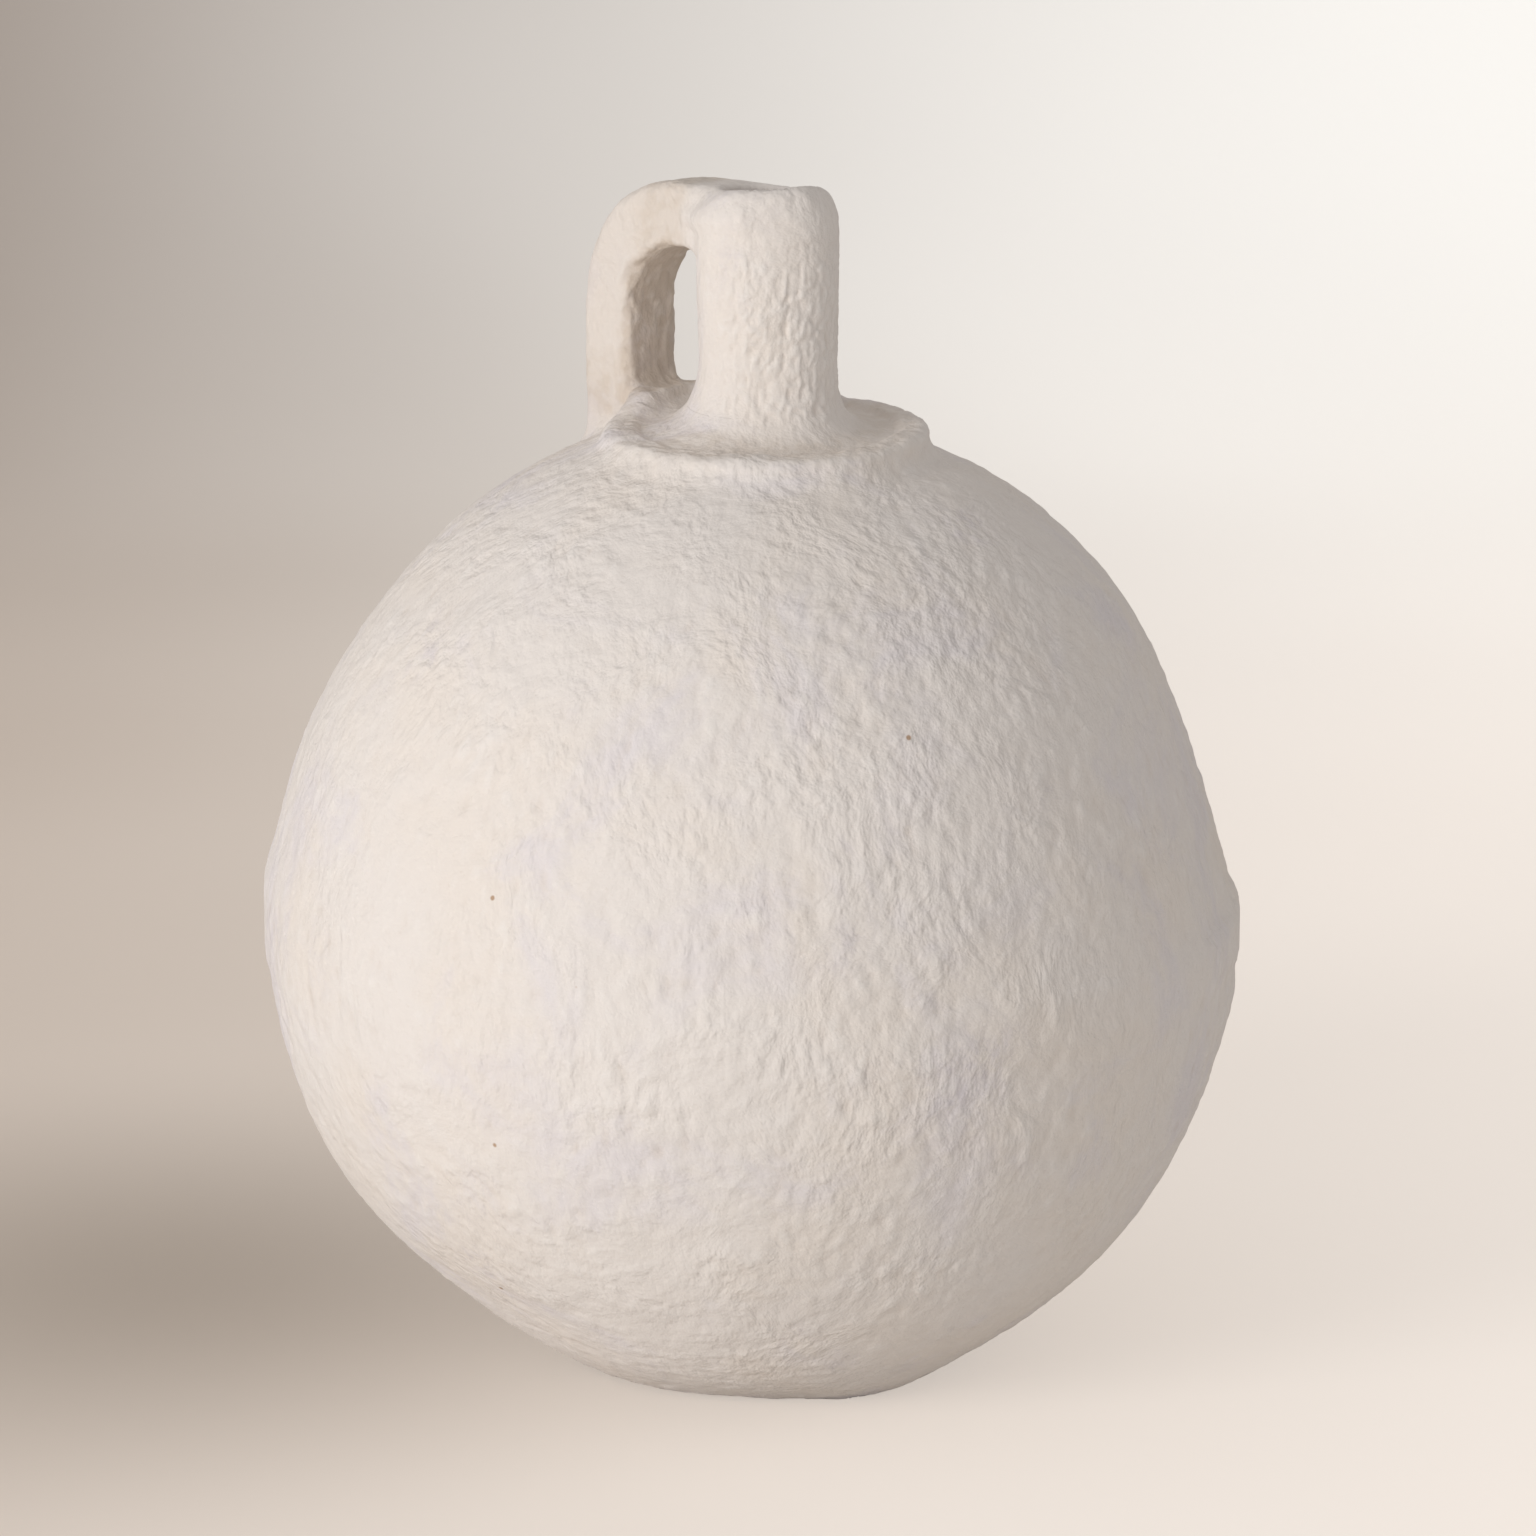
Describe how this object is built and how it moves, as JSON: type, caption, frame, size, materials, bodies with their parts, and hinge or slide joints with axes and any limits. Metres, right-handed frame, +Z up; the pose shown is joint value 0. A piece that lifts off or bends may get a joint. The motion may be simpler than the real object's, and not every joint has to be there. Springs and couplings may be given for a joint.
{
  "type": "globe jug",
  "caption": "Squat globe jug in rough white paper pulp, with a short straight neck, a dished disc on the shoulder and a strap handle.",
  "frame": {"origin": "on the floor under the globe's axis, in the middle of the flat foot", "axes": "+Z up; the front is towards -Y and +X is to its right; the handle is at the back on the left"},
  "size_m": [0.3999, 0.4, 0.4905],
  "materials": {
    "pulp": "rough dry paper pulp, off-white, with grey and brown flecks",
    "card": "plain brown card",
    "rolled_paper": "tightly rolled newsprint-grey paper"
  },
  "bodies": {
    "root": {"lower_shell": "pulp", "upper_shell": "pulp", "seam_band": "pulp", "base_disc": "card", "shoulder_collar": "pulp", "neck_tube": "card", "neck": "pulp", "neck_root": "pulp", "handle": "pulp", "handle_core": "rolled_paper", "handle_foot": "pulp", "handle_head": "pulp"}
  },
  "joints": []
}
